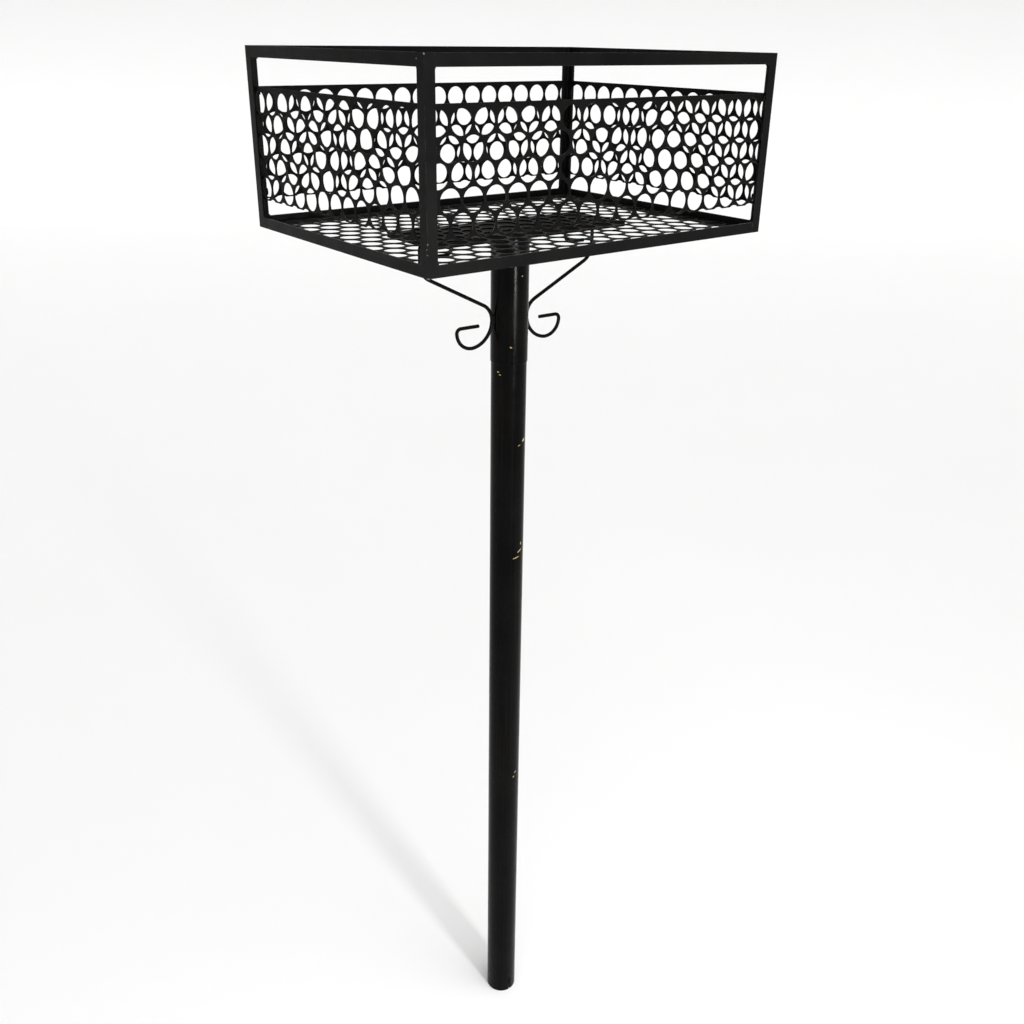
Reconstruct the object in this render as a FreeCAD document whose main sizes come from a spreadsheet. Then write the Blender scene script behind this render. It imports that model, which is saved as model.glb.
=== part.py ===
import FreeCAD, Part
import math
import os

import Sketcher
from FreeCAD import Placement, Rotation, Vector

# Bird feeder on a pole: a welded steel tray with perforated floor and sides, carried by a flat plate,
# a socket sleeve and two wire scrolls that slip over the top of a round pole.
# +Z is up, +X runs along the tray's long side, and the origin is the centre of the pole's foot.

# Driving dimensions, in millimetres and degrees.
DIMENSIONS = (
    ("tray_length", 508.0, "outside length of the tray, along X"),
    ("tray_width", 381.0, "outside width of the tray, along Y"),
    ("tray_height", 210.0, "height of the corner posts"),
    ("tray_base", 1320.0, "height of the tray's lower edge above the pole's foot"),
    ("bar_height", 12.7, "height of the rails and leg length of the angle bars"),
    ("bar_thickness", 3.2, "thickness of the flat bars and of the angle legs"),
    ("root_radius", 1.6, "rounding in the inside corner of the angle bars"),
    ("toe_radius", 1.0, "rounding on the inner toes of the angle bars"),
    ("sheet", 1.5, "thickness of the perforated sheet"),
    ("sheet_gap", 1.7, "gap from a sheet's edges to the bars, to clear their rounded roots"),
    ("hole_pitch", 28.575, "distance between hole centres, in every direction"),
    ("hole_radius", 12.7, "radius of the punched holes"),
    ("panel_rows", 5.0, "full rows of holes in a side panel"),
    ("panel_margin", 4.8, "solid strip above the top row of holes"),
    ("panel_rim", 1.6, "metal left below the bottom row of holes"),
    ("panel_drop", 32.3, "gap between a top rail and the panel under it"),
    ("plate_length", 304.8, "length of the mounting plate, along X"),
    ("plate_width", 101.6, "width of the mounting plate, along Y"),
    ("plate_thickness", 6.35, "thickness of the mounting plate"),
    ("pole_radius", 24.15, "outside radius of the pole"),
    ("pole_wall", 2.0, "wall thickness of the pole"),
    ("slot_width", 2.0, "width of the saw cut in the pole's foot"),
    ("slot_height", 26.0, "height of the saw cut in the pole's foot"),
    ("sleeve_wall", 0.9, "wall thickness of the socket sleeve"),
    ("sleeve_end", 172.0, "distance from the tray's lower edge down to the sleeve's end"),
    ("running_fit", 0.05, "radial clearance between the pole and the sleeve"),
    ("wire_radius", 2.38, "radius of the scroll wire"),
    ("weld_gap", 0.25, "root gap of the welds that hold the scroll wire"),
    ("scroll_contact", 114.5, "distance from the tray's lower edge down to where a scroll meets the sleeve"),
    ("scroll_neck", 23.6, "bend radius between a scroll's loop and its straight run"),
    ("scroll_slope", 62.75, "angle between a scroll's straight run and the pole"),
    ("scroll_wide", 33.3, "radius of the first part of a scroll's lower loop"),
    ("scroll_wide_turn", 78.3, "angle turned by the first part of the lower loop"),
    ("scroll_tight", 22.6, "radius of the second part of the lower loop"),
    ("scroll_tight_turn", 100.3, "angle turned by the second part of the lower loop"),
    ("scroll_curl", 6.0, "bend radius before the lower loop's straight tail"),
    ("scroll_tail", 27.6, "length of the lower loop's straight tail"),
    ("scroll_riser", 16.3, "upright run between a scroll's slope and its upper loop"),
    ("scroll_shoulder", 9.0, "bend radius where the upper loop turns in under the plate"),
    ("scroll_flat", 27.0, "straight run of the upper loop along the plate"),
    ("scroll_return", 9.0, "bend radius where the upper loop turns back"),
    ("scroll_upper_tail", 22.0, "length of the upper loop's straight tail"),
    ("scroll_twist", -3.6, "angle from the tray's long axis to the plane of the scrolls"),
)

# Each panel is sheared from a large sheet, so its holes start at their own place:
# the shift of the top row from the panel's centre, as a share of the hole pitch. The floor's shift
# is given both ways: along X as a share of the pitch, and along Y as a share of the row step.
PANEL_SHIFT = {"front": -0.30, "right": -0.21, "back": 0.33, "left": 0.08}
FLOOR_SHIFT_X = 0.66
FLOOR_SHIFT_ROWS = -0.364
ROW_RATIO = math.sqrt(3.0) / 2.0
TURNS = {"front": 0, "right": 90, "back": 180, "left": 270}

# A hole is punched only where it cuts at least this far into its sheet, in millimetres.
LEAST_BITE = 0.5
# How near an edge must lie to the spot that it is looked for at, in millimetres.
EDGE_REACH = 0.01
# How far a cut's or a sweep's volume may be from the one worked out by hand, as a share of it.
CUT_TOLERANCE = 0.1
SWEEP_TOLERANCE = 0.01

document = FreeCAD.newDocument("bird_feeder_on_pole")


def make_sheet():
    """The spreadsheet that holds every driving dimension under its own name."""
    sheet = document.addObject("Spreadsheet::Sheet", "sizes")
    for row, (name, value, note) in enumerate(DIMENSIONS, start=1):
        sheet.set("A%d" % row, name)
        sheet.set("B%d" % row, "%g" % value)
        sheet.set("C%d" % row, note)
        sheet.setAlias("B%d" % row, name)
    document.recompute()
    return sheet


sizes = make_sheet()


def size(name):
    """A driving dimension read back from the sheet."""
    return float(sizes.get(name))


def bind(item, **formulas):
    """Bind properties to formulas in which every dimension is written as sizes.NAME."""
    for prop, formula in formulas.items():
        item.setExpression(prop, formula)


def origin_plane(body, role):
    """One of a body's own origin planes."""
    return next(item for item in body.Origin.OriginFeatures if item.Role == role)


def new_body(name):
    body = document.addObject("PartDesign::Body", name)
    body.Label = name
    return body


def new_sketch(body, name, role="XY_Plane"):
    sketch = body.newObject("Sketcher::SketchObject", name)
    sketch.AttachmentSupport = [(origin_plane(body, role), "")]
    sketch.MapMode = "FlatFace"
    return sketch


def add_outline(sketch, corners):
    """A closed outline of horizontal and vertical lines through the corners."""
    points = [Vector(x, y, 0) for x, y in corners]
    count = len(points)
    for index in range(count):
        start = points[index]
        end = points[(index + 1) % count]
        sketch.addGeometry(Part.LineSegment(start, end), False)
    for index in range(count):
        sketch.addConstraint(Sketcher.Constraint("Coincident", index, 2, (index + 1) % count, 1))
        level = points[index].y == points[(index + 1) % count].y
        sketch.addConstraint(Sketcher.Constraint("Horizontal" if level else "Vertical", index))


def add_dimension(sketch, kind, line, formula):
    """Hold a line's length at a formula's value."""
    start = sketch.getPoint(line, 1)
    end = sketch.getPoint(line, 2)
    length = (end.x - start.x) if kind == "DistanceX" else (end.y - start.y)
    ends = (1, 2) if length > 0 else (2, 1)
    index = sketch.addConstraint(Sketcher.Constraint(kind, line, ends[0], line, ends[1], abs(length)))
    sketch.setExpression("Constraints[%d]" % index, formula)


def pin_corner(sketch):
    """Hold the outline's first corner at the sketch's origin."""
    sketch.addConstraint(Sketcher.Constraint("Coincident", 0, 1, -1, 1))


def centre_outline(sketch):
    """Hold a rectangle centred on the sketch's origin."""
    sketch.addConstraint(Sketcher.Constraint("Symmetric", 0, 1, 1, 2, -1, 1))


def add_circle(sketch, radius_formula, radius):
    """A circle about the sketch's origin."""
    index = sketch.addGeometry(Part.Circle(Vector(0, 0, 0), Vector(0, 0, 1), radius), False)
    sketch.addConstraint(Sketcher.Constraint("Coincident", index, 3, -1, 1))
    constraint = sketch.addConstraint(Sketcher.Constraint("Radius", index, radius))
    sketch.setExpression("Constraints[%d]" % constraint, radius_formula)


def pad(body, sketch, formula):
    feature = body.newObject("PartDesign::Pad", body.Name + "_pad")
    feature.Profile = sketch
    bind(feature, Length=formula)
    document.recompute()
    return feature


def upright_edges(shape, x, y):
    """Names of the edges that run along local Z through (x, y)."""
    names = []
    for index, edge in enumerate(shape.Edges, start=1):
        ends = [vertex.Point for vertex in edge.Vertexes]
        if all(abs(end.x - x) < EDGE_REACH and abs(end.y - y) < EDGE_REACH for end in ends):
            names.append("Edge%d" % index)
    return names


def fillet(body, base, spots, formula):
    """Round the edges that run along local Z through the given spots."""
    feature = body.newObject("PartDesign::Fillet", "%s_fillet_%d" % (body.Name, len(body.Group)))
    names = [name for x, y in spots for name in upright_edges(base.Shape, x, y)]
    feature.Base = (base, names)
    bind(feature, Radius=formula)
    document.recompute()
    return feature


def place(item, side, position, upright=Rotation()):
    """Put a piece on one side of the tray: the position is given as for the front."""
    turn = Rotation(Vector(0, 0, 1), TURNS[side])
    item.Placement = Placement(turn.multVec(position), turn.multiply(upright))


def tray_half(side, along):
    """Half the tray's size along a side, or across it."""
    long_side = side in ("front", "back")
    return size("tray_length" if long_side == along else "tray_width") / 2.0


def side_length(side):
    """The sheet formula of the tray's size along a side."""
    return "sizes.tray_length" if side in ("front", "back") else "sizes.tray_width"


# Bars lie along a side: local X points into the tray, local Y up, and local Z along the side.
ALONG_SIDE = Rotation(Vector(0, 1, 0), Vector(0, 0, 1), Vector(1, 0, 0), "XYZ")
# Panels stand on a side: local X runs along the side, local Y up, and local Z out of the tray.
STANDING = Rotation(Vector(1, 0, 0), 90)


def angle_bar(name, length_formula):
    """A rolled angle bar: two legs from a corner on local Z, rounded in the root and at the toes."""
    leg = size("bar_height")
    wall = size("bar_thickness")
    body = new_body(name)
    sketch = new_sketch(body, name + "_profile")
    add_outline(sketch, [(0, 0), (leg, 0), (leg, wall), (wall, wall), (wall, leg), (0, leg)])
    pin_corner(sketch)
    add_dimension(sketch, "DistanceX", 0, "sizes.bar_height")
    add_dimension(sketch, "DistanceY", 1, "sizes.bar_thickness")
    add_dimension(sketch, "DistanceX", 4, "sizes.bar_thickness")
    add_dimension(sketch, "DistanceY", 5, "sizes.bar_height")
    solid = pad(body, sketch, length_formula)
    solid = fillet(body, solid, [(wall, wall)], "sizes.root_radius")
    fillet(body, solid, [(leg, wall), (wall, leg)], "sizes.toe_radius")
    return body


def corner_post(side):
    """An angle bar on end, its corner outward, at the start of a side."""
    body = angle_bar("corner_post_%s_%s" % corner_words(side), "sizes.tray_height")
    place(body, side, Vector(-tray_half(side, True), -tray_half(side, False), size("tray_base")))
    return body


def corner_words(side):
    """The words that name the corner where a side starts."""
    return {"front": ("front", "left"), "right": ("front", "right"),
            "back": ("back", "right"), "left": ("back", "left")}[side]


def bottom_rail(side):
    """An angle bar along the tray's lower edge, its flat leg pointing inward under the floor."""
    body = angle_bar("bottom_rail_" + side, side_length(side) + " - 2 * sizes.bar_height")
    start = Vector(-tray_half(side, True) + size("bar_height"), -tray_half(side, False), size("tray_base"))
    place(body, side, start, ALONG_SIDE)
    return body


def top_rail(side):
    """A flat bar on edge between two posts, flush with their outer faces and tops."""
    body = new_body("top_rail_" + side)
    sketch = new_sketch(body, body.Name + "_profile")
    wall = size("bar_thickness")
    height = size("bar_height")
    add_outline(sketch, [(0, 0), (wall, 0), (wall, height), (0, height)])
    pin_corner(sketch)
    add_dimension(sketch, "DistanceX", 0, "sizes.bar_thickness")
    add_dimension(sketch, "DistanceY", 1, "sizes.bar_height")
    pad(body, sketch, side_length(side) + " - 2 * sizes.bar_height")
    level = size("tray_base") + size("tray_height") - height
    start = Vector(-tray_half(side, True) + height, -tray_half(side, False), level)
    place(body, side, start, ALONG_SIDE)
    return body


def punch_rows(body, label, start_x, start_y, columns, rows):
    """Punch every second row of a staggered hole pattern, from one hole repeated both ways."""
    pitch = "sizes.hole_pitch"
    sketch = new_sketch(body, "%s_hole_%s" % (body.Name, label))
    centre = Vector(start_x, start_y, 0)
    sketch.addGeometry(Part.Circle(centre, Vector(0, 0, 1), size("hole_radius")), False)
    for kind, value in (("DistanceX", start_x), ("DistanceY", start_y)):
        sketch.addConstraint(Sketcher.Constraint(kind, -1, 1, 0, 3, value))
    constraint = sketch.addConstraint(Sketcher.Constraint("Radius", 0, size("hole_radius")))
    sketch.setExpression("Constraints[%d]" % constraint, "sizes.hole_radius")
    hole = body.newObject("PartDesign::Pocket", "%s_punch_%s" % (body.Name, label))
    hole.Profile = sketch
    hole.Type = "ThroughAll"
    hole.Midplane = True
    document.recompute()
    along = document.addObject("PartDesign::LinearPattern", "%s_along_%s" % (body.Name, label))
    across = document.addObject("PartDesign::LinearPattern", "%s_across_%s" % (body.Name, label))
    along.Direction = (sketch, ["H_Axis"])
    along.Occurrences = columns
    bind(along, Length="%s * %d" % (pitch, columns - 1))
    across.Direction = (sketch, ["V_Axis"])
    across.Occurrences = rows
    bind(across, Length="%s * sqrt(3) * %d" % (pitch, rows - 1))
    grid = body.newObject("PartDesign::MultiTransform", "%s_grid_%s" % (body.Name, label))
    body.addObjects([along, across])
    grid.Originals = [hole]
    grid.Transformations = [along, across]
    body.Tip = grid
    document.recompute()


def first_hole(half_length, shift):
    """The leftmost hole centre whose hole reaches the sheet, and how many follow to the far end."""
    pitch = size("hole_pitch")
    reach = half_length + size("hole_radius") - LEAST_BITE
    first = math.ceil((-reach - shift * pitch) / pitch)
    last = math.floor((reach - shift * pitch) / pitch)
    return (first + shift) * pitch, last - first + 1


def sheet_length(side):
    """The sheet formula of a perforated sheet's length along a side, clear of the bars' roots."""
    return side_length(side) + " - 2 * sizes.bar_thickness - 2 * sizes.sheet_gap"


def sheet_half(side):
    """Half a perforated sheet's length along a side."""
    return tray_half(side, True) - size("bar_thickness") - size("sheet_gap")


def side_panel(side):
    """A perforated side panel behind the posts. Its lower edge is cut through the next row of holes."""
    half = sheet_half(side)
    row_step = size("hole_pitch") * ROW_RATIO
    rows = int(size("panel_rows"))
    height = size("panel_margin") + 2.0 * size("hole_radius") + (rows - 1) * row_step + size("panel_rim")
    body = new_body("side_panel_" + side)
    sketch = new_sketch(body, body.Name + "_outline")
    add_outline(sketch, [(-half, -height / 2.0), (half, -height / 2.0), (half, height / 2.0),
                         (-half, height / 2.0)])
    centre_outline(sketch)
    add_dimension(sketch, "DistanceX", 0, sheet_length(side))
    add_dimension(sketch, "DistanceY", 1, "sizes.panel_margin + sizes.panel_rim + 2 * sizes.hole_radius"
                  " + (sizes.panel_rows - 1) * sizes.hole_pitch * sqrt(3) / 2")
    pad(body, sketch, "sizes.sheet")
    top_row = height / 2.0 - size("panel_margin") - size("hole_radius")
    shift = PANEL_SHIFT[side]
    for parity in (0, 1):
        rows_here = len(range(parity, rows + 1, 2))
        lowest = top_row - (parity + 2 * (rows_here - 1)) * row_step
        start, columns = first_hole(half, (shift + 0.5 * parity) % 1.0)
        punch_rows(body, "ab"[parity], start, lowest, columns, rows_here)
    depth = tray_half(side, False) - size("bar_thickness")
    level = size("tray_base") + size("tray_height") - size("bar_height") - size("panel_drop") - height / 2.0
    place(body, side, Vector(0, -depth + size("sheet"), level), STANDING)
    return body


def floor_panel():
    """The perforated floor, lying on the flat legs of the bottom rails."""
    half_x = sheet_half("front")
    half_y = sheet_half("left")
    body = new_body("floor_panel")
    sketch = new_sketch(body, "floor_panel_outline")
    add_outline(sketch, [(-half_x, -half_y), (half_x, -half_y), (half_x, half_y), (-half_x, half_y)])
    centre_outline(sketch)
    add_dimension(sketch, "DistanceX", 0, sheet_length("front"))
    add_dimension(sketch, "DistanceY", 1, sheet_length("left"))
    pad(body, sketch, "sizes.sheet")
    row_step = size("hole_pitch") * ROW_RATIO
    reach = half_y + size("hole_radius") - LEAST_BITE
    first_row = math.ceil(-reach / row_step - FLOOR_SHIFT_ROWS)
    last_row = math.floor(reach / row_step - FLOOR_SHIFT_ROWS)
    for parity in (0, 1):
        rows_here = [row for row in range(first_row, last_row + 1) if row % 2 == parity]
        start, columns = first_hole(half_x, (FLOOR_SHIFT_X + 0.5 * parity) % 1.0)
        lowest = (rows_here[0] + FLOOR_SHIFT_ROWS) * row_step
        punch_rows(body, "ab"[parity], start, lowest, columns, len(rows_here))
    body.Placement = Placement(Vector(0, 0, size("tray_base") + size("bar_thickness")), Rotation())
    return body


def mount_plate():
    """The flat plate under the middle of the floor."""
    body = new_body("mount_plate")
    sketch = new_sketch(body, "mount_plate_outline")
    half_x = size("plate_length") / 2.0
    half_y = size("plate_width") / 2.0
    add_outline(sketch, [(-half_x, -half_y), (half_x, -half_y), (half_x, half_y), (-half_x, half_y)])
    centre_outline(sketch)
    add_dimension(sketch, "DistanceX", 0, "sizes.plate_length")
    add_dimension(sketch, "DistanceY", 1, "sizes.plate_width")
    pad(body, sketch, "sizes.plate_thickness")
    body.Placement = Placement(Vector(0, 0, plate_underside()), Rotation())
    return body


def plate_underside():
    """Height of the mounting plate's lower face: its upper face meets the floor."""
    return size("tray_base") + size("bar_thickness") - size("plate_thickness")


def tube(name, outer_formula, inner_formula, outer, inner, length_formula):
    """A round tube standing on local Z = 0."""
    body = new_body(name)
    sketch = new_sketch(body, name + "_ring")
    add_circle(sketch, outer_formula, outer)
    add_circle(sketch, inner_formula, inner)
    pad(body, sketch, length_formula)
    return body


def pole():
    """The pole, up to the underside of the mounting plate, with a saw cut at the front of its foot."""
    radius = size("pole_radius")
    body = tube("pole", "sizes.pole_radius", "sizes.pole_radius - sizes.pole_wall", radius,
                radius - size("pole_wall"), "sizes.tray_base + sizes.bar_thickness - sizes.plate_thickness")
    whole = body.Shape.Volume
    sketch = new_sketch(body, "pole_slot", "XZ_Plane")
    half = size("slot_width") / 2.0
    height = size("slot_height")
    add_outline(sketch, [(-half, 0), (half, 0), (half, height), (-half, height)])
    sketch.addConstraint(Sketcher.Constraint("Symmetric", 0, 1, 0, 2, -1, 1))
    add_dimension(sketch, "DistanceX", 0, "sizes.slot_width")
    add_dimension(sketch, "DistanceY", 1, "sizes.slot_height")
    cut = body.newObject("PartDesign::Pocket", "pole_slot_cut")
    cut.Profile = sketch
    cut.Type = "ThroughAll"
    cut.Reversed = True
    document.recompute()
    removed = whole - body.Shape.Volume
    expected = size("slot_width") * height * size("pole_wall")
    if abs(removed - expected) > CUT_TOLERANCE * expected:
        raise RuntimeError("the saw cut removed %.1f instead of %.1f" % (removed, expected))
    return body


def socket_sleeve():
    """The thin tube that slips over the pole, from the mounting plate down."""
    inner = size("pole_radius") + size("running_fit")
    body = tube("socket_sleeve", "sizes.pole_radius + sizes.running_fit + sizes.sleeve_wall",
                "sizes.pole_radius + sizes.running_fit", inner + size("sleeve_wall"), inner,
                "sizes.sleeve_end + sizes.bar_thickness - sizes.plate_thickness")
    body.Placement = Placement(Vector(0, 0, size("tray_base") - size("sleeve_end")), Rotation())
    return body


class WirePath:
    """A path in the XZ plane that grows by straight runs and tangent arcs."""

    def __init__(self, point, heading):
        self.point = point
        self.heading = heading
        self.edges = []

    def direction(self, angle):
        radians = math.radians(angle)
        return Vector(math.cos(radians), 0, math.sin(radians))

    def run(self, length):
        end = self.point + self.direction(self.heading) * length
        self.edges.append(Part.LineSegment(self.point, end).toShape())
        self.point = end

    def turn(self, radius, angle):
        """Turn by an angle, anticlockwise when it is positive."""
        side = 90.0 if angle > 0 else -90.0
        centre = self.point + self.direction(self.heading + side) * radius
        middle = centre + self.direction(self.heading - side + angle / 2.0) * radius
        end = centre + self.direction(self.heading - side + angle) * radius
        self.edges.append(Part.Arc(self.point, middle, end).toShape())
        self.point = end
        self.heading += angle


def draw_lower_loop(path):
    """Add the open loop beside the sleeve: two bends of growing tightness, a curl and a tail."""
    curl_turn = 270.0 - size("scroll_wide_turn") - size("scroll_tight_turn")
    path.turn(size("scroll_wide"), size("scroll_wide_turn"))
    path.turn(size("scroll_tight"), size("scroll_tight_turn"))
    path.turn(size("scroll_curl"), curl_turn)
    path.run(size("scroll_tail"))


def draw_upper_loop(path):
    """Add the flat loop under the plate: up, in along the plate, and back with a straight tail."""
    path.run(size("scroll_riser"))
    path.turn(size("scroll_shoulder"), 90.0)
    path.run(size("scroll_flat"))
    path.turn(size("scroll_return"), 180.0)
    path.run(size("scroll_upper_tail"))


def scroll_path():
    """The centre line of one scroll: an S with an open loop at the sleeve and a flat one under the plate."""
    slope = size("scroll_slope")
    neck = size("scroll_neck")
    start_x = size("pole_radius") + size("running_fit") + size("sleeve_wall") + size("weld_gap")
    start_x += size("wire_radius")
    start_z = size("tray_base") - size("scroll_contact")
    top = plate_underside() - size("weld_gap") - size("wire_radius")
    loop_rise = size("scroll_riser") + size("scroll_shoulder")
    rise = top - start_z - loop_rise - 2.0 * neck * math.sin(math.radians(slope))
    straight = rise / math.cos(math.radians(slope))

    # The lower loop is drawn from the sleeve down to its tail, then the rest from the sleeve up.
    lower = WirePath(Vector(start_x, 0, start_z), 270.0)
    draw_lower_loop(lower)
    upper = WirePath(Vector(start_x, 0, start_z), 90.0)
    upper.turn(neck, -slope)
    upper.run(straight)
    upper.turn(neck, slope)
    draw_upper_loop(upper)
    return Part.Wire(Part.__sortEdges__(lower.edges + upper.edges)), lower


def scroll_brackets():
    """Two wire scrolls, one each side of the sleeve, a few degrees off the tray's long axis."""
    wire, lower = scroll_path()
    spine = document.addObject("Part::Feature", "scroll_path")
    spine.Shape = wire
    section = document.addObject("Part::Circle", "scroll_section")
    bind(section, Radius="sizes.wire_radius")
    section.Placement = Placement(lower.point, Rotation(Vector(0, 1, 0), 90))
    brackets = []
    for name, turn in (("scroll_bracket_right", 0), ("scroll_bracket_left", 180)):
        sweep = document.addObject("Part::Sweep", name)
        sweep.Label = name
        sweep.Sections = [section]
        sweep.Spine = (spine, ["Edge%d" % index for index in range(1, len(wire.Edges) + 1)])
        sweep.Solid = True
        sweep.Frenet = False
        sweep.Placement = Placement(Vector(0, 0, 0), Rotation(Vector(0, 0, 1), turn + size("scroll_twist")))
        brackets.append(sweep)
    document.recompute()
    expected = math.pi * size("wire_radius") ** 2 * wire.Length
    for sweep in brackets:
        if abs(sweep.Shape.Volume - expected) > SWEEP_TOLERANCE * expected:
            raise RuntimeError("%s has volume %.1f, not %.1f" % (sweep.Name, sweep.Shape.Volume, expected))
    return brackets


def build():
    parts = [pole(), socket_sleeve(), mount_plate(), floor_panel()]
    parts += scroll_brackets()
    for side in TURNS:
        parts.append(corner_post(side))
        parts.append(bottom_rail(side))
        parts.append(top_rail(side))
        parts.append(side_panel(side))
    return parts


def check_and_export(parts):
    """Stop on any failed object or bad shape, then write one file for each sub-part."""
    document.recompute()
    for item in document.Objects:
        if "Invalid" in item.State or "Error" in item.State:
            raise RuntimeError("%s failed: %s" % (item.Name, item.State))
    os.makedirs("parts", exist_ok=True)
    for part in parts:
        shape = part.Shape
        if shape.isNull() or not shape.isValid() or len(shape.Solids) != 1:
            raise RuntimeError("%s has no single valid solid" % part.Label)
        shape.exportStep("parts/%s.step" % part.Label)
        print("%-28s %9.1f mm3" % (part.Label, shape.Volume))


check_and_export(build())
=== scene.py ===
import math
import random

import bmesh
import bpy
from mathutils import Matrix, Vector, noise


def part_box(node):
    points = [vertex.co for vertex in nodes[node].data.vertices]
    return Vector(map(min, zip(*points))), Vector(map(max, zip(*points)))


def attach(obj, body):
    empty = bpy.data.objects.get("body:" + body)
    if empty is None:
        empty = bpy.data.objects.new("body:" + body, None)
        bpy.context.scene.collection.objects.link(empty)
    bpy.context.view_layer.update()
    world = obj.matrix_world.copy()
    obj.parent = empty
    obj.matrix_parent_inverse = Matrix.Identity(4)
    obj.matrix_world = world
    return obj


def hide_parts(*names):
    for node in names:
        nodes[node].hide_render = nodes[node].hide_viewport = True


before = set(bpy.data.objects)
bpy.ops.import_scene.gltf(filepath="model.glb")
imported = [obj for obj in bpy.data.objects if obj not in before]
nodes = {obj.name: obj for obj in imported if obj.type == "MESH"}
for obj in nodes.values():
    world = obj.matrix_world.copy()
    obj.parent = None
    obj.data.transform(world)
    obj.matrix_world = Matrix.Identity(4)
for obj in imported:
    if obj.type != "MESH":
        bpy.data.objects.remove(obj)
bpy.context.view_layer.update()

# Lengths are in metres and angles in degrees. Places come from the boxes of the CAD nodes.
HEAD = "feeder_head"

# The round tubes.
SEGMENTS = 128
POLE_WALL = 0.002
SLEEVE_WALL = 0.0009
SLOT_WIDTH = 0.002
SLOT_HEIGHT = 0.026

# The scroll's centre line, and the wire that follows it.
SCROLL_NECK = 0.0236
SCROLL_SLOPE = 62.75
SCROLL_WIDE = 0.0333
SCROLL_WIDE_TURN = 78.3
SCROLL_TIGHT = 0.0226
SCROLL_TIGHT_TURN = 100.3
SCROLL_CURL = 0.006
SCROLL_TAIL = 0.0276
SCROLL_RISER = 0.0163
SCROLL_SHOULDER = 0.009
SCROLL_FLAT = 0.027
SCROLL_RETURN = 0.009
SCROLL_UPPER_TAIL = 0.022
SCROLL_TWIST = -3.6
WIRE_RADIUS = 0.00238
WIRE_SEGMENTS = 20
WELD_GAP = 0.00025
PATH_STEP = 0.0015

# How edges are rounded and shaded.
BAR_ROUND = 0.0005
POLE_ROUND = 0.0004
SLEEVE_ROUND = 0.0003
SHEET_ROUND = 0.0002
ROUND_FROM_ANGLE = 40.0
SMOOTH_TO_ANGLE = 35.0
JOIN_DISTANCE = 0.00001

# The weld beads: how finely they are drawn, how thick they are and where they lie.
BEAD_SEGMENTS = 12
BEAD_STEPS_PER_MM = 2.0
BEAD_LEAST_STEPS = 6
BEAD_RADIUS = 0.0022
BEAD_INSET = 0.0003
TACK_RADIUS = 0.0014
TACK_HALF_LENGTH = 0.004
TACK_BELOW_TOP = 0.006
TACK_ABOVE_FOOT = 0.008
SCROLL_WELD_RADIUS = 0.0013
SCROLL_WELD_OUT = 0.0003
SCROLL_WELD_ASIDE = 0.0012
SCROLL_WELD_BELOW = 0.007
SCROLL_WELD_ABOVE = 0.008
TOP_WELD_RADIUS = 0.0016
TOP_WELD_HALF_LENGTH = 0.006
TOP_WELD_SHARE = 0.8
FOOT_WELD_RADIUS = 0.0021
FOOT_WELD_INWARD = 0.0023
FOOT_WELD_BELOW = 0.0026
FOOT_WELD_ABOVE = 0.003
COLLAR_STEPS = 260
COLLAR_SEED = 2.0
COLLAR_OUT = 0.0006
COLLAR_BELOW_TOP = 0.0008

# Noise scales of the paint, in cells per metre. The streaks' noise is stretched along Z.
CLOUD_SCALE = 14.0
SCUFF_SCALE = 60.0
STREAK_SCALE = 260.0
STREAK_STRETCH = 0.012
PEEL_SCALE = 420.0
CHIP_SCALE = 700.0
GRAIN_SCALE = 900.0

# Colours.
BLACK = (0.0014, 0.0014, 0.0016)
BLACK_WORN = (0.0036, 0.0034, 0.0032)
STREAK = (0.0085, 0.0068, 0.0045)
DUST = (0.085, 0.078, 0.055)
PRIMER = (0.42, 0.34, 0.15)
GREY_METAL = (0.17, 0.16, 0.13)
BARE = (0.20, 0.18, 0.13)
STAGE_DIM = (0.945, 0.945, 0.94)
STAGE_PALE = (0.965, 0.965, 0.965)

# The camera. Its lens and its sensor are in millimetres.
CAMERA_PLACE = Vector((-0.8416, -1.0748, 1.5474))
CAMERA_HEADING = 51.63
CAMERA_DOWN = 24.55
CAMERA_ROLL = 0.86
CAMERA_LENS = 36.87
CAMERA_SENSOR = 36.0
CAMERA_FAR = 100.0

# The light all round, and a wide sun that stands for a soft light overhead.
WORLD_STRENGTH = 0.32
SKY_STRENGTH = 2.15
SKY_WIDTH = 70.0
SKY_FORWARD = 0.45
SKY_LEFT = 0.38

# A narrow light to the side of the camera, seen from the pole, aimed at a height on the pole's axis.
STRIP_TURN = 34.4
STRIP_DISTANCE = 1.6
STRIP_HEIGHT = 1.05
STRIP_TARGET = 1.30
STRIP_WIDTH = 0.17
STRIP_LENGTH = 0.40
STRIP_POWER = 18.0

# The floor, which curves up into a backdrop. Distances are counted from the pole, away from the camera.
STAGE_HALF_WIDTH = 16.0
STAGE_NEAR = -6.0
STAGE_BEND_START = 9.0
STAGE_BEND_RADIUS = 3.0
STAGE_BEND_STEPS = 24
STAGE_TOP = 9.0
STAGE_SMOOTH_TO_ANGLE = 60.0


def level_direction(angle):
    """The level direction at an angle from +X."""
    radians = math.radians(angle)
    return Vector((math.cos(radians), math.sin(radians), 0))


forward = level_direction(CAMERA_HEADING)
right = Vector((forward.y, -forward.x, 0))


# ---------------------------------------------------------------- objects and meshes


def new_object(name, mesh, body):
    """A piece that moves with a body."""
    piece = bpy.data.objects.new(name, mesh)
    bpy.context.collection.objects.link(piece)
    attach(piece, body)
    return piece


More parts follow.
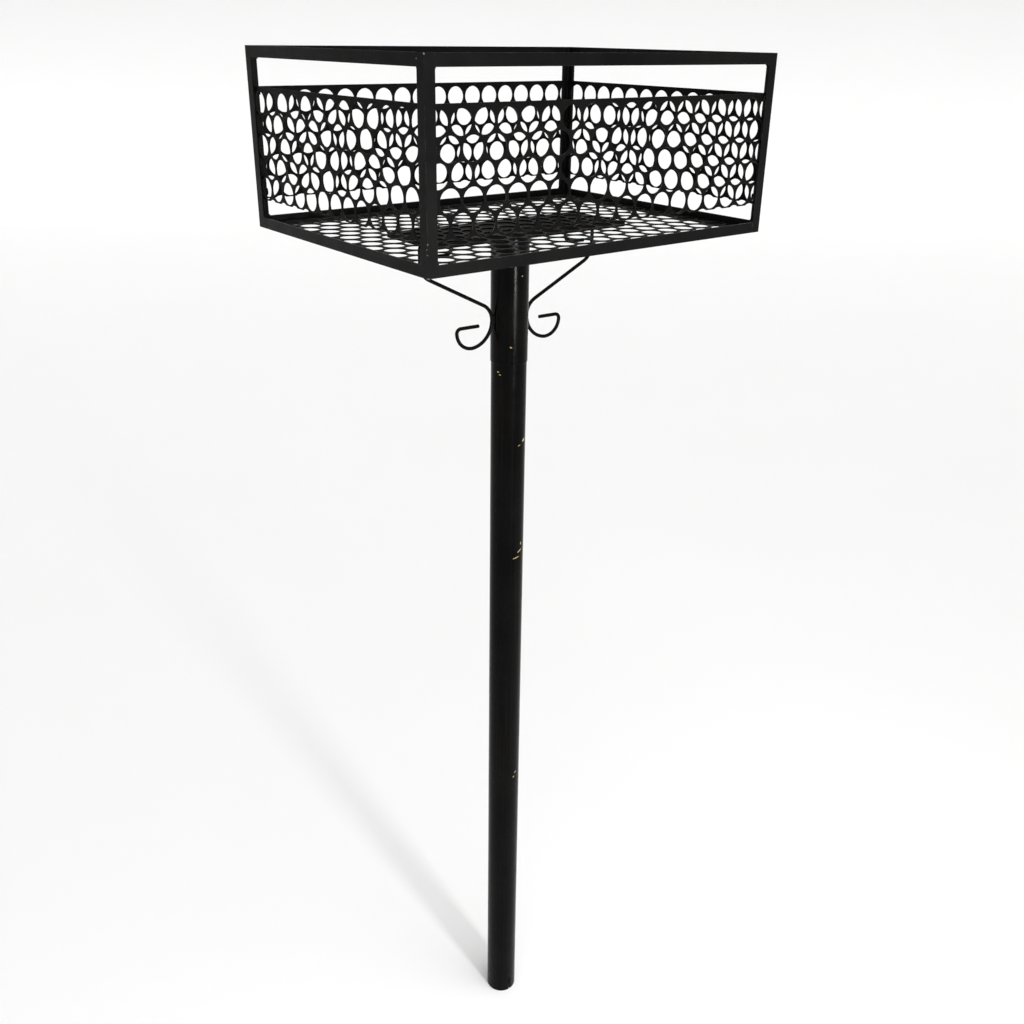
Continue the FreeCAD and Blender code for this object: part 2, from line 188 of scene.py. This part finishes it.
def mesh_from(name, verts, faces, smooth_angle=SMOOTH_TO_ANGLE):
    """A mesh with its faces turned outward, shaded smooth except at edges sharper than the angle."""
    mesh = bpy.data.meshes.new(name)
    mesh.from_pydata([tuple(vert) for vert in verts], [], faces)
    mesh.validate()
    bm = bmesh.new()
    bm.from_mesh(mesh)
    bmesh.ops.recalc_face_normals(bm, faces=bm.faces)
    bm.to_mesh(mesh)
    bm.free()
    for polygon in mesh.polygons:
        polygon.use_smooth = True
    mesh.set_sharp_from_angle(angle=math.radians(smooth_angle))
    return mesh


def round_edges(piece, width, segments=2, weld=False):
    """Soften a piece's sharp edges. weld first joins the corners that its faces don't share."""
    if weld:
        merge = piece.modifiers.new("join_corners", "WELD")
        merge.merge_threshold = JOIN_DISTANCE
    bevel = piece.modifiers.new("soft_edges", "BEVEL")
    bevel.width = width
    bevel.segments = segments
    bevel.limit_method = "ANGLE"
    bevel.angle_limit = math.radians(ROUND_FROM_ANGLE)


def ring_point(radius, angle, height):
    """A point on a circle about the Z axis. The angle is in radians."""
    return Vector((radius * math.cos(angle), radius * math.sin(angle), height))


def tube_mesh(name, outer, inner, low, high, slot=None):
    """A tube about the Z axis. A slot (width, height) opens it at the front of its lower end."""
    half_slot = math.asin(slot[0] / 2.0 / outer) if slot else 0.0
    start = -math.pi / 2.0 + half_slot
    span = 2.0 * math.pi - 2.0 * half_slot
    count = SEGMENTS
    gaps = count - 1 if slot else count
    angles = [start + span * index / gaps for index in range(count)]
    levels = [low] + ([low + slot[1]] if slot else []) + [high]
    verts = []
    for level in levels:
        for angle in angles:
            verts.append(ring_point(outer, angle, level))
            verts.append(ring_point(inner, angle, level))

    def corner(level, index, inside):
        return level * 2 * count + 2 * (index % count) + inside

    faces = []
    for level in range(len(levels) - 1):
        slotted = bool(slot) and level == 0
        steps = count - 1 if slotted else count
        for index in range(steps):
            for inside in (0, 1):
                faces.append((corner(level, index, inside), corner(level, index + 1, inside),
                              corner(level + 1, index + 1, inside), corner(level + 1, index, inside)))
        if slotted:
            for index in (0, count - 1):
                faces.append((corner(level, index, 0), corner(level, index, 1),
                              corner(level + 1, index, 1), corner(level + 1, index, 0)))
            faces.append((corner(1, count - 1, 0), corner(1, 0, 0), corner(1, 0, 1), corner(1, count - 1, 1)))
    for level in (0, len(levels) - 1):
        steps = count - 1 if slot and level == 0 else count
        for index in range(steps):
            faces.append((corner(level, index, 0), corner(level, index + 1, 0),
                          corner(level, index + 1, 1), corner(level, index, 1)))
    return mesh_from(name, verts, faces)


def swept_mesh(name, points, radius, segments, ripple=None):
    """A round bar along points, with slightly rounded cut ends. ripple(index) varies the radius."""
    rings = []
    last = len(points) - 1
    for index, point in enumerate(points):
        before = points[max(index - 1, 0)]
        after = points[min(index + 1, last)]
        along = (after - before).normalized()
        side = Vector((0, 1, 0)) if abs(along.y) < 0.9 else Vector((1, 0, 0))
        side = (side - along * side.dot(along)).normalized()
        up = along.cross(side)
        size = radius * (ripple(index) if ripple else 1.0)
        rings.append((point, along, side, up, size))
    # Each end gets a smaller ring at the end point, and its full ring moves inward.
    first = rings[0]
    final = rings[-1]
    trim = radius * 0.25
    rings.insert(0, first[:4] + (first[4] - trim,))
    rings.append(final[:4] + (final[4] - trim,))
    rings[1] = (first[0] + first[1] * trim,) + first[1:]
    rings[-2] = (final[0] - final[1] * trim,) + final[1:]
    verts = []
    for point, along, side, up, size in rings:
        for step in range(segments):
            angle = 2.0 * math.pi * step / segments
            verts.append(point + side * (size * math.cos(angle)) + up * (size * math.sin(angle)))
    faces = []
    for ring in range(len(rings) - 1):
        near = ring * segments
        far = near + segments
        for step in range(segments):
            after = (step + 1) % segments
            faces.append((near + step, near + after, far + after, far + step))
    faces.append(tuple(range(segments)))
    end = (len(rings) - 1) * segments
    faces.append(tuple(range(end, end + segments)))
    return mesh_from(name, verts, faces)


# ---------------------------------------------------------------- materials


class Shader:
    """A small helper that adds and joins shader nodes."""

    def __init__(self, name):
        self.material = bpy.data.materials.new(name)
        self.material.use_nodes = True
        self.tree = self.material.node_tree
        self.tree.nodes.clear()
        output = self.add("ShaderNodeOutputMaterial")
        self.surface = self.add("ShaderNodeBsdfPrincipled")
        self.link(self.surface.outputs[0], output.inputs["Surface"])
        self.place = self.add("ShaderNodeTexCoord").outputs["Object"]

    def add(self, kind, **settings):
        node = self.tree.nodes.new(kind)
        for key, value in settings.items():
            setattr(node, key, value)
        return node

    def link(self, source, target):
        self.tree.links.new(source, target)

    def feed(self, value, socket):
        """Give a socket a constant number or the output of another node."""
        if isinstance(value, (int, float)):
            socket.default_value = value
        else:
            self.link(value, socket)

    def noise(self, scale, detail, roughness, stretch=(1, 1, 1), shift=(0, 0, 0)):
        mapping = self.add("ShaderNodeMapping")
        mapping.inputs["Scale"].default_value = stretch
        mapping.inputs["Location"].default_value = shift
        self.link(self.place, mapping.inputs["Vector"])
        texture = self.add("ShaderNodeTexNoise")
        texture.inputs["Scale"].default_value = scale
        texture.inputs["Detail"].default_value = detail
        texture.inputs["Roughness"].default_value = roughness
        self.link(mapping.outputs[0], texture.inputs["Vector"])
        return texture.outputs["Fac"]

    def remap(self, value, low, high, to_low=0.0, to_high=1.0):
        node = self.add("ShaderNodeMapRange", interpolation_type="SMOOTHSTEP")
        node.inputs["From Min"].default_value = low
        node.inputs["From Max"].default_value = high
        node.inputs["To Min"].default_value = to_low
        node.inputs["To Max"].default_value = to_high
        self.link(value, node.inputs["Value"])
        return node.outputs[0]

    def math(self, operation, *values):
        node = self.add("ShaderNodeMath", operation=operation)
        for index, value in enumerate(values):
            self.feed(value, node.inputs[index])
        return node.outputs[0]

    def dot(self, first, second):
        """The dot product of an output with another output or with a constant vector."""
        node = self.add("ShaderNodeVectorMath", operation="DOT_PRODUCT")
        self.link(first, node.inputs[0])
        if isinstance(second, Vector):
            node.inputs[1].default_value = second
        else:
            self.link(second, node.inputs[1])
        return node.outputs["Value"]

    def mix(self, factor, first, second):
        """A blend of two colours, each a constant or an output."""
        node = self.add("ShaderNodeMix", data_type="RGBA")
        self.link(factor, node.inputs[0])
        for socket, value in ((node.inputs[6], first), (node.inputs[7], second)):
            if isinstance(value, tuple):
                socket.default_value = value + (1.0,)
            else:
                self.link(value, socket)
        return node.outputs[2]

    def normal(self):
        return self.add("ShaderNodeNewGeometry").outputs["Normal"]

    def upward(self):
        """How far a surface faces up, from 0 to 1."""
        split = self.add("ShaderNodeSeparateXYZ")
        self.link(self.normal(), split.inputs[0])
        return self.remap(split.outputs["Z"], 0.3, 0.95)

    def edge(self, radius):
        """Bright along edges sharper than the given radius."""
        bevel = self.add("ShaderNodeBevel", samples=4)
        bevel.inputs["Radius"].default_value = radius
        return self.remap(self.dot(bevel.outputs[0], self.normal()), 0.98, 0.80)

    def spot(self, mark, ragged):
        """A ragged chip, 1 inside and 0 outside. mark is its place, half length, half height and rise."""
        place, half_length, half_height, rise = mark
        around = Vector((-place[1], place[0], 0.0)).normalized()
        tilt = math.radians(rise)
        along = around * math.cos(tilt) + Vector((0, 0, math.sin(tilt)))
        over = Vector((0, 0, math.cos(tilt))) - around * math.sin(tilt)
        offset = self.add("ShaderNodeVectorMath", operation="SUBTRACT")
        self.link(self.place, offset.inputs[0])
        offset.inputs[1].default_value = place
        total = None
        for direction, half in ((along, half_length), (over, half_height), (along.cross(over), half_length)):
            distance = self.math("ABSOLUTE", self.dot(offset.outputs[0], direction / half))
            square = self.math("POWER", distance, 2.0)
            total = square if total is None else self.math("ADD", total, square)
        uneven = self.math("MULTIPLY", self.math("SUBTRACT", ragged, 0.5), 2.4)
        return self.remap(self.math("ADD", total, uneven), 1.15, 0.85)

    def bump(self, height, strength, distance, normal=None):
        node = self.add("ShaderNodeBump")
        node.inputs["Strength"].default_value = strength
        node.inputs["Distance"].default_value = distance
        self.link(height, node.inputs["Height"])
        if normal is not None:
            self.link(normal, node.inputs["Normal"])
        return node.outputs[0]

    def finish(self, colour, roughness, normal, shine):
        """Join everything to the surface and give back the material."""
        self.link(colour, self.surface.inputs["Base Color"])
        self.feed(roughness, self.surface.inputs["Roughness"])
        self.link(normal, self.surface.inputs["Normal"])
        self.feed(shine, self.surface.inputs["Specular IOR Level"])
        return self.material


def black_paint(name, seed, marks=(), streaks=0.0, under=PRIMER, dust=0.3, wear=0.4,
                gloss=0.42, shine=0.1):
    """Black paint: fine orange peel, cloudy colour, dust on top, worn edges and the chips in marks."""
    shader = Shader(name)
    shift = (seed, seed * 0.7, seed * 1.3)
    cloud = shader.noise(CLOUD_SCALE, 5.0, 0.55, shift=shift)
    grain = shader.noise(GRAIN_SCALE, 3.0, 0.6, shift=shift)
    peel = shader.noise(PEEL_SCALE, 2.0, 0.5, shift=shift)
    scuff = shader.noise(SCUFF_SCALE, 8.0, 0.7, shift=shift)

    colour = shader.mix(shader.remap(cloud, 0.35, 0.72), BLACK, BLACK_WORN)
    if streaks:
        lines = shader.noise(STREAK_SCALE, 3.0, 0.6, stretch=(1, 1, STREAK_STRETCH), shift=shift)
        streak = shader.math("MULTIPLY", shader.remap(lines, 0.5, 0.75), streaks)
        colour = shader.mix(streak, colour, STREAK)
    speck = shader.remap(grain, 0.58, 0.75)
    dusty = shader.math("MULTIPLY", shader.upward(), shader.remap(scuff, 0.30, 0.65))
    dusty = shader.math("MULTIPLY", dusty, dust)
    dusty = shader.math("ADD", dusty, shader.math("MULTIPLY", speck, 0.03))
    colour = shader.mix(dusty, colour, DUST)
    worn = shader.math("MULTIPLY", shader.edge(0.0010), shader.remap(scuff, 0.50, 0.66))
    colour = shader.mix(shader.math("MULTIPLY", worn, wear), colour, BARE)

    normal = shader.bump(peel, 0.22, 0.0006)
    normal = shader.bump(scuff, 0.25, 0.0004, normal)
    if marks:
        ragged = shader.noise(CHIP_SCALE, 2.0, 0.6, shift=shift)
        chipped = shader.spot(marks[0], ragged)
        for mark in marks[1:]:
            chipped = shader.math("MAXIMUM", chipped, shader.spot(mark, ragged))
        colour = shader.mix(chipped, colour, under)
        normal = shader.bump(shader.math("SUBTRACT", 1.0, chipped), 0.5, 0.0003, normal)

    rough = shader.remap(cloud, 0.3, 0.7, gloss - 0.05, gloss + 0.07)
    rough = shader.math("ADD", rough, shader.math("MULTIPLY", dusty, 0.3))
    rough = shader.math("ADD", rough, shader.remap(scuff, 0.4, 0.75, 0.0, 0.08))
    return shader.finish(colour, rough, normal, shine)


def stage_material():
    """Pale, slightly cloudy paper."""
    shader = Shader("pale_floor")
    cloud = shader.noise(1.6, 4.0, 0.5)
    fine = shader.noise(160.0, 3.0, 0.6)
    colour = shader.mix(cloud, STAGE_DIM, STAGE_PALE)
    return shader.finish(colour, 0.9, shader.bump(fine, 0.05, 0.001), 0.1)


# ---------------------------------------------------------------- the scroll's line


class PlanePath:
    """Points of a path in the XZ plane that grows by straight runs and tangent arcs."""

    def __init__(self, point, heading):
        self.point = point
        self.heading = heading
        self.points = [point.copy()]

    def direction(self, angle):
        radians = math.radians(angle)
        return Vector((math.cos(radians), 0.0, math.sin(radians)))

    def run(self, length):
        steps = max(1, round(length / (4.0 * PATH_STEP)))
        for step in range(1, steps + 1):
            self.points.append(self.point + self.direction(self.heading) * (length * step / steps))
        self.point = self.points[-1].copy()

    def turn(self, radius, angle):
        """Follow an arc. A positive angle turns from +X towards +Z."""
        side = 90.0 if angle > 0 else -90.0
        centre = self.point + self.direction(self.heading + side) * radius
        steps = max(4, round(abs(math.radians(angle)) * radius / PATH_STEP))
        for step in range(1, steps + 1):
            turned = self.heading - side + angle * step / steps
            self.points.append(centre + self.direction(turned) * radius)
        self.point = self.points[-1].copy()
        self.heading += angle


def draw_lower_loop(path):
    """The loop beside the sleeve, which tightens and ends in a straight tail."""
    path.turn(SCROLL_WIDE, SCROLL_WIDE_TURN)
    path.turn(SCROLL_TIGHT, SCROLL_TIGHT_TURN)
    path.turn(SCROLL_CURL, 270.0 - SCROLL_WIDE_TURN - SCROLL_TIGHT_TURN)
    path.run(SCROLL_TAIL)


def draw_upper_loop(path):
    """The flat loop whose straight run lies under the plate, with its tail below."""
    path.run(SCROLL_RISER)
    path.turn(SCROLL_SHOULDER, 90.0)
    path.run(SCROLL_FLAT)
    path.turn(SCROLL_RETURN, 180.0)
    path.run(SCROLL_UPPER_TAIL)


def scroll_points():
    """The +X side's centre line before its twist, from the lower tail up, and its point at the sleeve."""
    low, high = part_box("scroll_bracket_right")
    sleeve_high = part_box("socket_sleeve")[1]
    top = high[2] - WIRE_RADIUS
    bottom = low[2] + WIRE_RADIUS
    start = Vector((sleeve_high[0] + WELD_GAP + WIRE_RADIUS, 0.0, bottom + SCROLL_WIDE))
    lower = PlanePath(start, 270.0)
    draw_lower_loop(lower)
    slope = math.radians(SCROLL_SLOPE)
    loop_rise = SCROLL_RISER + SCROLL_SHOULDER
    rise = top - start.z - loop_rise - 2.0 * SCROLL_NECK * math.sin(slope)
    upper = PlanePath(start, 90.0)
    upper.turn(SCROLL_NECK, -SCROLL_SLOPE)
    upper.run(rise / math.cos(slope))
    upper.turn(SCROLL_NECK, SCROLL_SLOPE)
    draw_upper_loop(upper)
    return lower.points[:0:-1] + upper.points, start


def flat_middle(points):
    """The middle of the scroll's straight run along the plate."""
    highest = max(point.z for point in points)
    along = [point.x for point in points if point.z > highest - WELD_GAP / 2.0]
    return Vector(((min(along) + max(along)) / 2.0, 0.0, highest))


# ---------------------------------------------------------------- weld beads


def bead(name, start, end, radius, rng):
    """A hand-laid weld: a rippled bar between two points, sunk halfway into the steel."""
    length = (end - start).length
    count = max(BEAD_LEAST_STEPS, int(length * 1000.0 * BEAD_STEPS_PER_MM))
    phase = rng.uniform(0, 6.28)
    points = []
    for index in range(count + 1):
        point = start.lerp(end, index / count)
        wobble = noise.noise_vector(point * 300.0 + Vector((phase, 0, 0))) * (radius * 0.12)
        points.append(point + wobble)

    def ripple(index):
        share = index / count
        swell = math.sin(math.pi * min(max(share, 0.04), 0.96)) ** 0.35
        return swell * (1.0 + 0.10 * math.sin(index * 1.5 + phase))

    mesh = swept_mesh(name, points, radius, BEAD_SEGMENTS, ripple)
    return new_object(name, mesh, HEAD)


def collar_bead(name, radius, height):
    """The fillet weld all round the sleeve."""
    verts = []
    for index in range(COLLAR_STEPS):
        outward = ring_point(1.0, 2.0 * math.pi * index / COLLAR_STEPS, 0.0)
        lump = noise.noise(outward * 4.0 + Vector((COLLAR_SEED, 0, 0)))
        size = BEAD_RADIUS * (1.0 + 0.10 * math.sin(index * 1.9) + 0.12 * lump)
        centre = outward * radius + Vector((0, 0, height))
        for step in range(BEAD_SEGMENTS):
            turn = 2.0 * math.pi * step / BEAD_SEGMENTS
            rise = Vector((0, 0, size * math.sin(turn)))
            verts.append(centre + outward * (size * math.cos(turn)) + rise)
    faces = []
    for index in range(COLLAR_STEPS):
        near = index * BEAD_SEGMENTS
        far = ((index + 1) % COLLAR_STEPS) * BEAD_SEGMENTS
        for step in range(BEAD_SEGMENTS):
            after = (step + 1) % BEAD_SEGMENTS
            faces.append((near + step, far + step, far + after, near + after))
    return new_object(name, mesh_from(name, verts, faces), HEAD)


def corner_beads(rng):
    """The fillets in the openings' inside corners at each post, and the tacks that hold the side sheets."""
    post_low, post_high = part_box("corner_post_front_left")
    panel_low, panel_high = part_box("side_panel_front")
    top_low, top_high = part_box("top_rail_front")
    rail_levels = (("bottom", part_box("bottom_rail_front")[1][2]), ("top", top_low[2]))
    tack_levels = (("upper", panel_high[2] - TACK_BELOW_TOP), ("lower", panel_low[2] + TACK_ABOVE_FOOT))
    near = Vector(post_low)
    far = Vector(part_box("corner_post_back_right")[1])
    leg = post_high[0] - post_low[0]
    wall = top_high[1] - top_low[1]
    half_tack = Vector((0, 0, TACK_HALF_LENGTH))
    pieces = []
    for x, inward_x, across_name in ((near.x, 1, "left"), (far.x, -1, "right")):
        for y, inward_y, depth_name in ((near.y, 1, "front"), (far.y, -1, "back")):
            corner = "%s_%s" % (depth_name, across_name)
            for level, z in rail_levels:
                along_x = Vector((x + inward_x * leg, y, z))
                along_y = Vector((x, y + inward_y * leg, z))
                for label, spot, across in (("long", along_x, Vector((0, inward_y, 0))),
                                            ("short", along_y, Vector((inward_x, 0, 0)))):
                    start = spot + across * BEAD_INSET
                    end = spot + across * (wall - BEAD_INSET)
                    name = "weld_%s_%s_%s" % (level, corner, label)
                    pieces.append(bead(name, start, end, BEAD_RADIUS * rng.uniform(0.85, 1.1), rng))
            for level, z in tack_levels:
                for label, spot in (("long", Vector((x + inward_x * leg, y + inward_y * wall, z))),
                                    ("short", Vector((x + inward_x * wall, y + inward_y * leg, z)))):
                    start = spot - half_tack
                    end = spot + half_tack
                    name = "tack_%s_%s_%s" % (level, corner, label)
                    pieces.append(bead(name, start, end, TACK_RADIUS * rng.uniform(0.8, 1.15), rng))
    return pieces


# ---------------------------------------------------------------- paints and chips


pole_low, pole_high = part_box("pole")
sleeve_low, sleeve_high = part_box("socket_sleeve")
pole_radius = (pole_high[0] - pole_low[0]) / 2.0
sleeve_radius = (sleeve_high[0] - sleeve_low[0]) / 2.0


def facing(angle, height, radius):
    """A place on a round surface: the angle is counted from the front, anticlockwise seen from above."""
    turned = math.radians(angle - 90.0)
    return (radius * math.cos(turned), radius * math.sin(turned), height)


def near_corner(x, y, z):
    """A place given from the outer, lower corner of the front left post."""
    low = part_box("corner_post_front_left")[0]
    return (low[0] + x, low[1] + y, low[2] + z)


# Each mark: place, half length, half height and the angle at which it rises, anticlockwise from outside.
POLE_MARKS = (
    (facing(-74, 1.137, pole_radius), 0.0018, 0.0009, 0.0),
    (facing(-67, 1.1335, pole_radius), 0.0016, 0.0007, -10.0),
    (facing(24, 1.0385, pole_radius), 0.0032, 0.0017, 30.0),
    (facing(2, 1.0325, pole_radius), 0.0024, 0.0005, 25.0),
    (facing(19, 0.881, pole_radius), 0.0008, 0.0024, 0.0),
    (facing(13, 0.870, pole_radius), 0.0052, 0.0008, 24.0),
    (facing(-3, 0.8605, pole_radius), 0.0052, 0.0007, 10.0),
    (facing(11, 0.476, pole_radius), 0.0022, 0.0009, 40.0),
    (facing(3, 0.468, pole_radius), 0.0018, 0.0008, 30.0),
    (facing(120, 0.930, pole_radius), 0.0040, 0.0012, -20.0),
    (facing(190, 0.610, pole_radius), 0.0030, 0.0010, 15.0),
    (facing(75, 0.240, pole_radius), 0.0026, 0.0012, 30.0),
)
SLEEVE_MARKS = (
    (facing(2, 1.2645, sleeve_radius), 0.0009, 0.0007, 0.0),
    (facing(-32, 1.172, sleeve_radius), 0.0017, 0.0009, -15.0),
    (facing(150, 1.190, sleeve_radius), 0.0026, 0.0011, 20.0),
)
POST_MARKS = (
    (near_corner(0.001, 0.001, 0.0), 0.0020, 0.0011, 0.0),
    (near_corner(0.0, 0.0005, 0.024), 0.0009, 0.0007, 0.0),
    (near_corner(0.0, 0.001, 0.0295), 0.0009, 0.0008, 0.0),
    (near_corner(0.0006, 0.0, 0.0345), 0.0008, 0.0008, 0.0),
    (near_corner(0.0, 0.0, 0.209), 0.0013, 0.0010, 0.0),
    (near_corner(0.0, 0.0125, 0.2045), 0.0008, 0.0009, 0.0),
)

post_paint = black_paint("satin_black_frame", 1.0, POST_MARKS, under=GREY_METAL, dust=0.12, wear=0.5,
                         gloss=0.44, shine=0.10)
mesh_paint = black_paint("satin_black_perforated", 5.0, dust=0.13, wear=0.75, gloss=0.5, shine=0.07)
plate_paint = black_paint("satin_black_plate", 8.0, dust=0.05, wear=0.3, gloss=0.5, shine=0.05)
pole_paint = black_paint("gloss_black_pole", 11.0, POLE_MARKS, streaks=0.6, dust=0.1, wear=0.3,
                         gloss=0.2, shine=0.05)
sleeve_paint = black_paint("gloss_black_sleeve", 13.0, SLEEVE_MARKS, streaks=0.6, dust=0.1, wear=0.3,
                           gloss=0.16, shine=0.05)
wire_paint = black_paint("satin_black_wire", 17.0, dust=0.08, wear=0.2, gloss=0.33, shine=0.06)
weld_paint = black_paint("satin_black_weld", 19.0, dust=0.12, wear=0.2, gloss=0.42, shine=0.1)


# ---------------------------------------------------------------- pieces


def dress(piece, material):
    """Give a piece its material."""
    piece.data.materials.clear()
    piece.data.materials.append(material)


def dress_node(node, material):
    """Give a CAD node its material."""
    for slot in node.material_slots:
        slot.material = material


def build_tubes():
    """The pole, with the slot at its foot, and the sleeve."""
    mesh = tube_mesh("pole_tube", pole_radius, pole_radius - POLE_WALL, pole_low[2], pole_high[2],
                     (SLOT_WIDTH, SLOT_HEIGHT))
    pole_piece = new_object("pole_tube", mesh, "pole")
    round_edges(pole_piece, POLE_ROUND)
    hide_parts("pole")
    dress(pole_piece, pole_paint)

    mesh = tube_mesh("sleeve_tube", sleeve_radius, sleeve_radius - SLEEVE_WALL, sleeve_low[2], sleeve_high[2])
    sleeve_piece = new_object("sleeve_tube", mesh, "sleeve")
    round_edges(sleeve_piece, SLEEVE_ROUND)
    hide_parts("socket_sleeve")
    dress(sleeve_piece, sleeve_paint)


def build_scrolls(rng):
    """The two scrolls, each with two welds along the sleeve and one under the plate."""
    points, contact = scroll_points()
    top = flat_middle(points)
    top_height = top.z + WIRE_RADIUS * TOP_WELD_SHARE
    weld_x = sleeve_radius + SCROLL_WELD_OUT
    for name, turn in (("right", 0.0), ("left", 180.0)):
        spin = Matrix.Rotation(math.radians(turn + SCROLL_TWIST), 3, "Z")
        turned = [spin @ point for point in points]
        mesh = swept_mesh("scroll_wire_" + name, turned, WIRE_RADIUS, WIRE_SEGMENTS)
        piece = new_object("scroll_wire_" + name, mesh, HEAD)
        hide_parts("scroll_bracket_" + name)
        dress(piece, wire_paint)
        for label, aside in (("a", SCROLL_WELD_ASIDE), ("b", -SCROLL_WELD_ASIDE)):
            start = spin @ Vector((weld_x, aside, contact.z - SCROLL_WELD_BELOW))
            end = spin @ Vector((weld_x, aside, contact.z + SCROLL_WELD_ABOVE))
            weld = bead("scroll_weld_%s_%s" % (name, label), start, end, SCROLL_WELD_RADIUS, rng)
            dress(weld, weld_paint)
        start = spin @ Vector((top.x - TOP_WELD_HALF_LENGTH, 0.0, top_height))
        end = spin @ Vector((top.x + TOP_WELD_HALF_LENGTH, 0.0, top_height))
        weld = bead("scroll_top_weld_" + name, start, end, TOP_WELD_RADIUS, rng)
        dress(weld, weld_paint)


def build_frame_welds(rng):
    """The drip under the front left post, the collar round the sleeve and the beads at the posts."""
    foot = Vector(near_corner(FOOT_WELD_INWARD, FOOT_WELD_INWARD, 0.0))
    start = foot + Vector((0, 0, -FOOT_WELD_BELOW))
    end = foot + Vector((0, 0, FOOT_WELD_ABOVE))
    drip = bead("post_foot_weld", start, end, FOOT_WELD_RADIUS, rng)
    dress(drip, weld_paint)

    collar = collar_bead("sleeve_collar_weld", sleeve_radius + COLLAR_OUT, sleeve_high[2] - COLLAR_BELOW_TOP)
    dress(collar, weld_paint)

    for piece in corner_beads(rng):
        dress(piece, weld_paint)


def dress_nodes():
    """Paint the CAD nodes that show as they are, and soften their edges."""
    for name, node in nodes.items():
        if name.startswith(("corner_post", "bottom_rail", "top_rail")):
            dress_node(node, post_paint)
            round_edges(node, BAR_ROUND, weld=True)
        elif name.startswith(("side_panel", "floor_panel")):
            dress_node(node, mesh_paint)
            round_edges(node, SHEET_ROUND, segments=1, weld=True)
        elif name == "mount_plate":
            dress_node(node, plate_paint)
            round_edges(node, BAR_ROUND, weld=True)


# ---------------------------------------------------------------- stage, light, camera


def build_stage():
    """A pale floor that curves up into a backdrop far behind the object."""
    outline = [(STAGE_NEAR, 0.0), (0.0, 0.0)]
    for step in range(STAGE_BEND_STEPS + 1):
        angle = math.pi / 2.0 * step / STAGE_BEND_STEPS
        distance = STAGE_BEND_START + STAGE_BEND_RADIUS * math.sin(angle)
        outline.append((distance, STAGE_BEND_RADIUS * (1.0 - math.cos(angle))))
    outline.append((STAGE_BEND_START + STAGE_BEND_RADIUS, STAGE_TOP))
    verts = []
    for distance, height in outline:
        for across in (-STAGE_HALF_WIDTH, STAGE_HALF_WIDTH):
            verts.append(forward * distance + right * across + Vector((0, 0, height)))
    faces = [(2 * i, 2 * i + 1, 2 * i + 3, 2 * i + 2) for i in range(len(outline) - 1)]
    mesh = mesh_from("studio_floor", verts, faces, STAGE_SMOOTH_TO_ANGLE)
    stage = bpy.data.objects.new("studio_floor", mesh)
    bpy.context.collection.objects.link(stage)
    stage.data.materials.append(stage_material())


def build_world():
    """White light from all round, and plain colours in the picture."""
    world = bpy.data.worlds.new("studio")
    world.use_nodes = True
    background = world.node_tree.nodes["Background"]
    background.inputs["Color"].default_value = (1.0, 1.0, 1.0, 1.0)
    background.inputs["Strength"].default_value = WORLD_STRENGTH
    bpy.context.scene.world = world
    bpy.context.scene.view_settings.view_transform = "Standard"


def add_light(name, data, direction):
    """A light that shines in a direction."""
    light = bpy.data.objects.new(name, data)
    bpy.context.collection.objects.link(light)
    light.rotation_euler = direction.to_track_quat("-Z", "Y").to_euler()
    return light


def build_lights():
    """The soft light overhead and the narrow one that draws a line down the round tubes."""
    sky = bpy.data.lights.new("soft_overhead", "SUN")
    sky.energy = SKY_STRENGTH
    sky.angle = math.radians(SKY_WIDTH)
    add_light("soft_overhead", sky, forward * SKY_FORWARD - right * SKY_LEFT + Vector((0, 0, -1.0)))

    data = bpy.data.lights.new("strip", "AREA")
    data.shape = "RECTANGLE"
    data.size = STRIP_WIDTH
    data.size_y = STRIP_LENGTH
    data.energy = STRIP_POWER
    aside = level_direction(CAMERA_HEADING + 180.0 + STRIP_TURN)
    place = aside * STRIP_DISTANCE + Vector((0, 0, STRIP_HEIGHT))
    strip = add_light("strip", data, Vector((0, 0, STRIP_TARGET)) - place)
    strip.location = place
    strip.visible_camera = False


def build_camera():
    """The scene's own camera."""
    data = bpy.data.cameras.new("camera")
    data.sensor_width = CAMERA_SENSOR
    data.lens = CAMERA_LENS
    data.clip_end = CAMERA_FAR
    camera = bpy.data.objects.new("camera", data)
    bpy.context.collection.objects.link(camera)
    down = math.radians(CAMERA_DOWN)
    look = Vector((math.cos(down) * forward.x, math.cos(down) * forward.y, -math.sin(down)))
    upright = right.cross(look)
    roll = math.radians(CAMERA_ROLL)
    across = right * math.cos(roll) + upright * math.sin(roll)
    above = upright * math.cos(roll) - right * math.sin(roll)
    turn = Matrix((across, above, -look)).transposed()
    camera.matrix_world = Matrix.Translation(CAMERA_PLACE) @ turn.to_4x4()
    bpy.context.scene.camera = camera


rng = random.Random(7)
build_tubes()
build_scrolls(rng)
build_frame_welds(rng)
dress_nodes()
build_stage()
build_world()
build_lights()
build_camera()
